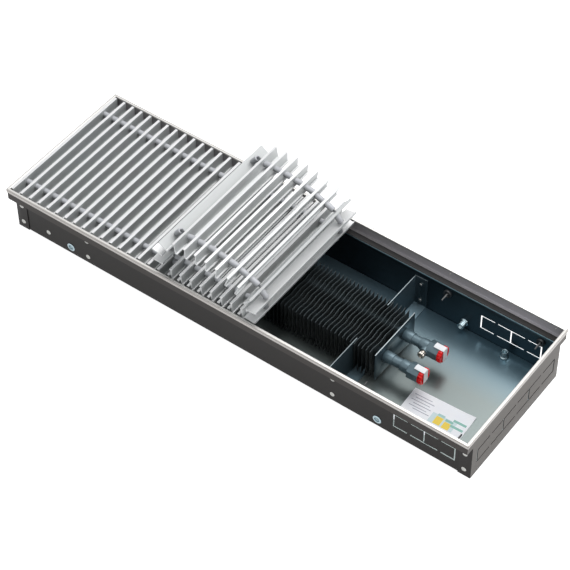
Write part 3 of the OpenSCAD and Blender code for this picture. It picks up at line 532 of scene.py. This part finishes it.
# Polyethylene: a strong red with a soft gloss, barely clouded by the moulding.
melt_size = 6
red, shader, mm = surface("red_polyethylene", Roughness=0.22)
melt = add(red, "TexNoise", {"Vector": mm, "Scale": 1 / melt_size, "Detail": 2.0}).outputs[0]
drive(red, shader, "Base Color", melt, "#f2040b", "#ff0a12")
for node in ("cap_front", "cap_rear"):
    low, high = (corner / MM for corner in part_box(node))
    plug_tip = (low.x, (low.y + high.y) / 2, (low.z + high.z) / 2)
    face = high.x - low.x
    rim = face - cap_deep + socket_longer
    cap_outline = [(0, face - 1.6), (7.4, face - 1.6), (7.4, 0), (8.7, 0), (9.0, 0.5), (9.0, rim),
                   (12.0, rim), (12.6, rim + 0.8), (12.7, face - 2.0), (12.2, face - 0.7),
                   (11.0, face), (9.6, face), (9.0, face - 0.5), (0, face - 0.5)]
    mesh = turned_mesh(node + "_moulded", cap_outline, [(plug_tip, (1, 0, 0))], sides=96,
                       flutes=16, flute_deep=0.7, from_radius=11.9)
    put(mesh, node + "_moulded", red, node)

# A strip of tape holds each cap, stuck from the socket over the rim and across the face. As
# the socket is drawn longer, the end of the tape that lies on it starts further out.
tape_end_deep = 1

# Paper: dry white, with a tooth of fibres drawn coarse enough to show, and soft creases.
fibre_size, crease_size, crease_high = 0.7, 3.5, 0.5
paper, shader, mm = surface("white_paper_tape", Roughness=0.55)
fibre = add(paper, "TexNoise", {"Vector": mm, "Scale": 1 / fibre_size, "Detail": 4.0}).outputs[0]
drive(paper, shader, "Base Color", fibre, "#f3f5f7", "#ffffff")
crease = add(paper, "TexNoise", {"Vector": mm, "Scale": 1 / crease_size, "Detail": 3.0}).outputs[0]
bump(paper, shader, crease, crease_high)
for node in ("cap_tape_front", "cap_tape_rear"):
    strip = nodes[node].data.copy()
    strip.materials.clear()
    tape_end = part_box(node)[0].x + tape_end_deep * MM
    for point in strip.vertices:
        if point.co.x < tape_end:
            point.co.x += socket_longer * MM
    put(strip, node + "_strip", paper, node)

# Steel rivet nuts are squeezed into the walls and the floor, for anchors and levelling screws.
# A flange or a bulge grips the sheet, and the barrel carries a thread.
thread_root, thread_deep, half_pitch, barrel_end = 3.75, 0.35, 0.55, 12.0
thread = [(thread_root + thread_deep * (k % 2), barrel_end - half_pitch * k) for k in range(22)]
barrel = [(6.4, 1.0), (6.8, 1.5), (6.8, 2.4), (6.3, 3.4), (5.3, 4.0), (5.0, 4.4), (5.0, 12.1),
          (4.7, 12.5), (4.2, 12.5)]
flange = [(4.1, -1.0), (6.3, -1.0), (6.8, -0.7), (6.8, 0), (4.95, 0), (4.95, 1.0)]
floor_rim = [(4.1, 0.0), (4.95, 0.0), (4.95, 1.0)]

# Blue passivated zinc: bright and cold, with faint cloudy spots.
zinc_size = 2
zinc, shader, mm = surface("bright_zinc", Metallic=1.0)
cast = add(zinc, "TexNoise", {"Vector": mm, "Scale": 1 / zinc_size, "Detail": 3.0}).outputs[0]
drive(zinc, shader, "Base Color", cast, "#8ba0a8", "#c4d5db")
drive(zinc, shader, "Roughness", cast, 0.18, 0.34)
for node, start in (("wall_rivet_nuts", flange), ("floor_rivet_nuts", floor_rim)):
    spots = []
    for middle, _ in middles(node):
        side = math.copysign(1, middle.y)
        if node == "wall_rivet_nuts":
            spots.append(((middle.x, side * wall_out, middle.z), (0, -side, 0)))
        else:
            spots.append(((middle.x, middle.y, 0), (0, 0, 1)))
    put(turned_mesh(node + "_turned", start + barrel + thread, spots, sides=40),
        node + "_turned", zinc, node)

# Four thin studs come in through the walls, each in a dished bush of black rubber. Their flat
# heads are outside, and their threads run the whole length.
stud_long, stud_radius, stud_thread_deep, stud_half_pitch = 18.0, 1.3, 0.25, 0.4
pin = [(0, -1.1), (2.3, -1.1), (2.6, -0.8), (2.6, 0)]
pin += [(stud_radius - stud_thread_deep * (k % 2), stud_half_pitch * k) for k in range(44)]
pin += [(0.7, stud_long), (0, stud_long)]
dish = [(1.4, 0), (6.3, 0), (6.5, 0.3), (6.5, 3.0), (6.2, 3.7), (5.6, 4.0), (5.0, 3.8),
        (4.4, 2.9), (2.8, 2.7), (2.4, 3.4), (1.4, 3.4)]

# Bright drawn steel: grey, with a broken shine from the thread's flanks.
mark_size = 0.5
steel, shader, mm = surface("bright_steel_pin", Metallic=1.0)
marks = add(steel, "TexNoise", {"Vector": mm, "Scale": 1 / mark_size}).outputs[0]
drive(steel, shader, "Base Color", marks, "#565656", "#8d8d8e")
drive(steel, shader, "Roughness", marks, 0.2, 0.35)

# Moulded rubber: black with a low gloss that shows the dish.
mould_size = 1.2
bush, shader, mm = surface("black_bush_rubber", Roughness=0.4)
mould = add(bush, "TexNoise", {"Vector": mm, "Scale": 1 / mould_size}).outputs[0]
drive(bush, shader, "Base Color", mould, "#15171a", "#2b2f32")
for node, outline, material, depth in (("studs", pin, steel, wall_out),
                                       ("stud_bushes", dish, bush, wall_in)):
    spots = [((middle.x, math.copysign(depth, middle.y), middle.z),
              (0, -math.copysign(1, middle.y), 0)) for middle, _ in middles(node)]
    put(turned_mesh(node + "_turned", outline, spots), node + "_turned", material, node)

# The edging is an aluminium channel round the rim, mitred at the four corners. It is what shows
# in the finished floor. A groove runs along its outer leg, near the top.
edging_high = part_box("edging_right")[1] / MM
crown_x, crown_y = edging_high.x - 1.1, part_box("edging_back")[1].y / MM - 1.1
groove_low, groove_high = edging_high.z - 2.6, edging_high.z - 1.0

# Anodised aluminium: satin, with painted light on top and inside, painted shade on the outer leg
# and darker painted shade in its groove. The faint lines that the die left are drawn as patches of
# 3 mm, so that they show.
line_size = 3
edging, shader, mm = surface("anodised_aluminium_edging", Metallic=0.75)
lines = add(edging, "TexNoise", {"Vector": mm, "Scale": 1 / line_size, "Detail": 2.0}).outputs[0]
axes = add(edging, "SeparateXYZ", {0: mm}).outputs
# Painted light on the crown, painted shade on the outer leg, darker painted shade in the groove
crown = zone(edging, axes, ("X", 0, crown_x), ("Y", 0, crown_y))
groove = zone(edging, axes, ("Z", (groove_low + groove_high) / 2, (groove_high - groove_low) / 2))
crown_painted_light = blend_colours(edging, lines, "#dedcd8", "#e9e7e4")
leg_painted_shade = blend_colours(edging, groove, "#aeaaa6", "#86817d")
drive(edging, shader, "Base Color", crown, leg_painted_shade, crown_painted_light)
drive(edging, shader, "Roughness", lines, 0.34, 0.44)
for side in ("front", "back", "left", "right"):
    rounded("edging_" + side, edging, 0.35)

# Small screws with low round heads pin the back upstand, at the right. A cross is pressed in
# each head, and they have the rivets' dull metal shine.
low_screw = [(0, 0.25), (0.5, 0.25), (0.8, 0.6), (1.2, 0.75), (1.6, 0.5), (1.8, 0.15), (1.8, 0),
             (0, 0)]
spots = [((middle.x, middle.y + size.y / 2, middle.z), (0, -1, 0))
         for middle, size in middles("edging_screws")]
put(turned_mesh("edging_screws_turned", low_screw, spots, sides=24, flutes=4, flute_deep=0.15,
                from_radius=0.4), "edging_screws_turned", rivet, "edging_screws")

# A strip of soft rubber lies on each ledge, so that the bars don't rattle on the sheet. It is
# extruded and stuck down.
dust_size = 2

# Black rubber: dull and dusty, nearly without shine.
rubber, shader, mm = surface("epdm_rubber", Roughness=0.75)
dust = add(rubber, "TexNoise", {"Vector": mm, "Scale": 1 / dust_size, "Detail": 4.0}).outputs[0]
drive(rubber, shader, "Base Color", dust, "#232222", "#32302f")
rounded("damping_strips", rubber, 0.3)

# The instruction card is white board, cut square and laid loose on the floor, a little turned.
# Its far corner curls up. Thin grey rules and plain blocks of yellow and green are printed on it.
card_long, card_wide, card_thick = 97.4, 64.0, 0.5
card_turn = math.radians(2.5)
card_corner = Vector((255.7, -87.7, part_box("instruction_card")[0].z / MM))
curl_high, curl_share = 1.2, 0.25
steps_long, steps_wide = 49, 32
map_size = 100.0
along = Vector((math.cos(card_turn), math.sin(card_turn), 0))
across = Vector((-math.sin(card_turn), math.cos(card_turn), 0))
shape = bmesh.new()
layers = []
for lift in (0.0, card_thick):
    layer = []
    for i in range(steps_long + 1):
        for j in range(steps_wide + 1):
            u, v = i / steps_long, j / steps_wide
            flat = card_corner + along * (u * card_long) + across * (v * card_wide)
            curl = curl_high * max(0.0, 1 - math.dist((u, v), (1, 1)) / curl_share) ** 2
            layer.append(shape.verts.new((flat + Vector((0, 0, lift + curl))) * MM))
    layers.append(layer)
row = steps_wide + 1
for i in range(steps_long):
    for j in range(steps_wide):
        cell = [i * row + j, (i + 1) * row + j, (i + 1) * row + j + 1, i * row + j + 1]
        shape.faces.new([layers[1][k] for k in cell])
        shape.faces.new([layers[0][k] for k in reversed(cell)])
rim = [i * row for i in range(steps_long + 1)]
rim += [steps_long * row + j for j in range(1, row)]
rim += [i * row + steps_wide for i in range(steps_long - 1, -1, -1)]
rim += list(range(steps_wide - 1, 0, -1))
for a, b in zip(rim, rim[1:] + rim[:1]):
    shape.faces.new([layers[0][a], layers[0][b], layers[1][b], layers[1][a]])
card_map = shape.loops.layers.uv.new("card")
to_card = Matrix((along, across, Vector((0, 0, 1))))
for side_face in shape.faces:
    for loop in side_face.loops:
        on_card = to_card @ (loop.vert.co / MM - card_corner)
        loop[card_map].uv = (on_card.x / map_size, on_card.y / map_size)
mesh = bpy.data.meshes.new("instruction_card_board")
shape.to_mesh(mesh)
shape.free()

# Coated board: cool white with a slight gloss, and flat printed colours.
tone_size = 20
card, shader, _ = surface("coated_white_board", Roughness=0.35)
on_map = add(card, "UVMap", uv_map="card").outputs[0]
on_card = add(card, "VectorMath", {0: on_map, "Scale": map_size}, operation="SCALE").outputs[0]
axes = add(card, "SeparateXYZ", {0: on_card}).outputs
tone = add(card, "TexNoise", {"Vector": on_card, "Scale": 1 / tone_size}).outputs[0]
colour = blend_colours(card, tone, "#f6f8ff", "#ffffff")
for middle_x, middle_y, half_x, half_y, code in (
        (19, 55, 14, 0.6, "#b1b3bd"), (24, 50, 15, 0.6, "#a3a5b1"), (20, 45, 15, 0.6, "#b1b3bd"),
        (25, 40, 14, 0.6, "#a3a5b1"), (21, 35, 14, 0.6, "#b1b3bd"), (28, 31, 13, 0.6, "#a3a5b1"),
        (62, 32, 19, 9, "#d3e6e8"), (56, 31, 5.5, 7, "#f9d73c"), (70, 29, 5.5, 6, "#f9d73c"),
        (56, 41, 5.5, 2, "#a9d2cc"), (70, 38, 6, 2, "#8cc3b6"), (84, 43, 10, 2, "#8cc3b6"),
        (84, 33, 10, 2, "#8cc3b6")):
    block = zone(card, axes, ("X", middle_x, half_x), ("Y", middle_y, half_y))
    colour = blend_colours(card, block, colour, code)
card.node_tree.links.new(colour, shader.inputs["Base Color"])
put(mesh, "instruction_card_board", card, "instruction_card")

# The grille bars are extruded aluminium of a Z section, sawn square and strung on two cords, so
# that the grille rolls up. They lie across the trough on the rubber strips.
line_wide, line_long, level_limit = 0.6, 90, 0.96

# Silver anodising: satin, with the die's lines along each bar, drawn 0.6 mm wide, which is
# coarser than the real ones. The level flanges are painted brighter than the webs, as painted
# light.
bars, shader, mm = surface("silver_anodised_bars", Metallic=0.35)
drawn = add(bars, "Mapping", {"Vector": mm, "Scale": (1 / line_wide, 1 / line_long,
                                                      1 / line_wide)}).outputs[0]
lines = add(bars, "TexNoise", {"Vector": drawn, "Scale": 1.0, "Detail": 3.0}).outputs[0]
normal = add(bars, "TexCoord").outputs["Normal"]
upwards = add(bars, "SeparateXYZ", {0: normal}).outputs["Z"]
# Faces that look up get painted light
level_face = add(bars, "Math", {0: upwards, 1: level_limit}, operation="GREATER_THAN").outputs[0]
web_face = blend_colours(bars, lines, "#cbcdcd", "#d6d8d7")
level_painted_light = blend_colours(bars, lines, "#e8e8e8", "#f6f6f5")
drive(bars, shader, "Base Color", level_face, web_face, level_painted_light)
drive(bars, shader, "Roughness", lines, 0.4, 0.52)
dress(bars, "flat_bars", "fold_bar_1", "fold_bar_2", "fold_bar_3", "top_bars", "left_fold_bars",
      "inner_bars")

# Sleeves on the cords, between the webs, keep the bars apart. They are moulded with rounded
# ends and slide freely on the cord.
sleeve_size, painted_light_from, painted_light_to = 3, -0.3, 0.9

# Grey nylon: smooth with a soft gloss, and painted pale where it faces up, as painted light.
sleeve, shader, mm = surface("grey_nylon_sleeve", Roughness=0.3)
mould = add(sleeve, "TexNoise", {"Vector": mm, "Scale": 1 / sleeve_size}).outputs[0]
normal = add(sleeve, "TexCoord").outputs["Normal"]
upwards = add(sleeve, "SeparateXYZ", {0: normal}).outputs["Z"]
# Painted light: paler where the sleeve faces up
facing_up_painted_light = add(sleeve, "MapRange", {0: upwards, 1: painted_light_from, 2: painted_light_to}).outputs[0]
grey = blend_colours(sleeve, mould, "#6b6e70", "#7a7c7e")
drive(sleeve, shader, "Base Color", facing_up_painted_light, grey, "#d0d1d4")
for node in ("flat_spacers", "fold_spacers_1", "fold_spacers_2", "fold_spacers_3",
             "top_spacers", "left_fold_spacers", "inner_spacers"):
    rounded(node, sleeve, 0.7)

# Two cords run through all the bars and sleeves and let the grille roll up. They are braided
# and 3 mm thick, and little of them shows.
braid_size = 0.8

# Grey polyester: dull, with the mottle of its braid.
cord, shader, mm = surface("grey_cord", Roughness=0.6)
braid = add(cord, "TexNoise", {"Vector": mm, "Scale": 1 / braid_size}).outputs[0]
drive(cord, shader, "Base Color", braid, "#6b6d70", "#8b8d90")
dress(cord, "flat_cords", "fold_cords_1", "fold_cords_2", "fold_cords_3", "top_cords",
      "left_fold_cords", "inner_cords")
